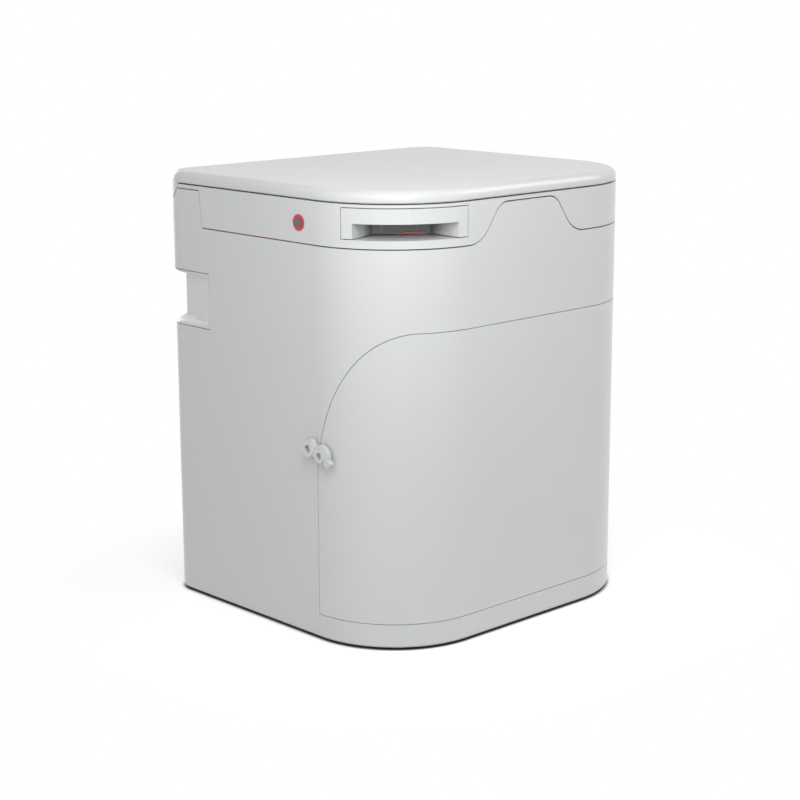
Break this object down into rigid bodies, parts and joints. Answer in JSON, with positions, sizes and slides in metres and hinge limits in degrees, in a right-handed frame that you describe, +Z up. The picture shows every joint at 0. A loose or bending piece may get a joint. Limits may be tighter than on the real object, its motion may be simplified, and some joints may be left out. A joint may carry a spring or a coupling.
{
  "type": "composting toilet",
  "caption": "Compact urine-diverting composting toilet with a hinged lid, a tilting seat housing, a pull-out solids hatch, a swing door over the urine bottle and a stirred solids bin",
  "frame": {"origin": "on the floor under the centre of the toilet's bounding box", "axes": "+Z up, the door and the hump face -Y, +X towards the side with the door hinges"},
  "size_m": [0.388, 0.356, 0.44],
  "materials": {
    "casing": "smooth satin pale grey moulded plastic",
    "bowl_white": "polished pale moulded plastic",
    "inner_grey": "plain moulded plastic",
    "bottle_white": "blow-moulded natural plastic",
    "bush_cream": "machined bearing plastic",
    "dark_plastic": "fine-grained dark plastic",
    "red_plastic": "glossy red plastic",
    "red_rubber": "matt red silicone rubber",
    "rubber_black": "matt black rubber",
    "steel": "brushed stainless steel"
  },
  "bodies": {
    "base": {"base_shell": "casing", "rubber_feet": "rubber_black", "bulkhead": "inner_grey", "bin_shelf": "inner_grey", "solids_bin": "inner_grey", "bin_bush": "bush_cream", "gear_motor": "dark_plastic", "urine_bottle": "bottle_white", "drain_funnel": "inner_grey", "level_sensor": "dark_plastic", "base_hinge_leaves": "steel", "door_hinge_pins": "steel", "base_leaf_screws": "steel", "latch_screw": "steel", "grip_cup_left": "casing", "grip_cup_right": "casing", "housing_seal": "red_rubber", "lid_hinge_pins": "steel", "fan_frame": "dark_plastic", "vent_socket": "inner_grey", "power_inlet": "dark_plastic", "control_box": "dark_plastic"},
    "housing": {"seat_housing": "casing", "seat_ring": "casing", "diverter_bowl": "bowl_white", "hatch_seal": "red_rubber", "hatch_rails": "inner_grey", "button_ring": "red_plastic", "button_switch": "dark_plastic"},
    "hatch": {"hatch_plate": "dark_plastic", "hatch_nose_seal": "red_rubber", "pull_handle": "casing"},
    "button": {"push_button": "dark_plastic"},
    "lid": {"lid": "casing", "lid_buffers": "rubber_black"},
    "door": {"front_door": "casing", "door_catch": "rubber_black", "door_hinge_leaves": "steel", "door_leaf_screws": "steel"},
    "latch_arm": {"latch": "casing"},
    "stirrer": {"agitator": "steel", "motor_shaft": "steel"},
    "fan_rotor": {"fan_impeller": "dark_plastic"}
  },
  "joints": [
    {"name": "housing_tilt", "type": "hinge", "parent": "base", "child": "housing", "pos_m": [0, 0.1534, 0.4176], "axis": [-1, 0, 0], "range_deg": [0, 40]},
    {"name": "lid_hinge", "type": "hinge", "parent": "housing", "child": "lid", "pos_m": [0, 0.1534, 0.4176], "axis": [-1, 0, 0], "range_deg": [0, 95]},
    {"name": "hatch_slide", "type": "slide", "parent": "housing", "child": "hatch", "axis": [-0.5948, -0.8039, 0], "range_m": [0, 0.127]},
    {"name": "button_press", "type": "slide", "parent": "housing", "child": "button", "axis": [1, 0, 0], "range_m": [0, 0.002], "stiffness_N_per_m": 400},
    {"name": "door_swing", "type": "hinge", "parent": "base", "child": "door", "pos_m": [0.1904, -0.0763, 0.1675], "axis": [0, 0, 1], "range_deg": [0, 100]},
    {"name": "latch_turn", "type": "hinge", "parent": "base", "child": "latch_arm", "pos_m": [-0.19, -0.0704, 0.1914], "axis": [-1, 0, 0], "range_deg": [0, 100]},
    {"name": "stirrer_spin", "type": "hinge", "parent": "base", "child": "stirrer", "pos_m": [0, 0.0425, 0.1], "axis": [0, 0, 1], "continuous": true},
    {"name": "fan_spin", "type": "hinge", "parent": "base", "child": "fan_rotor", "pos_m": [-0.06, 0.136, 0.374], "axis": [0, 1, 0], "continuous": true}
  ]
}
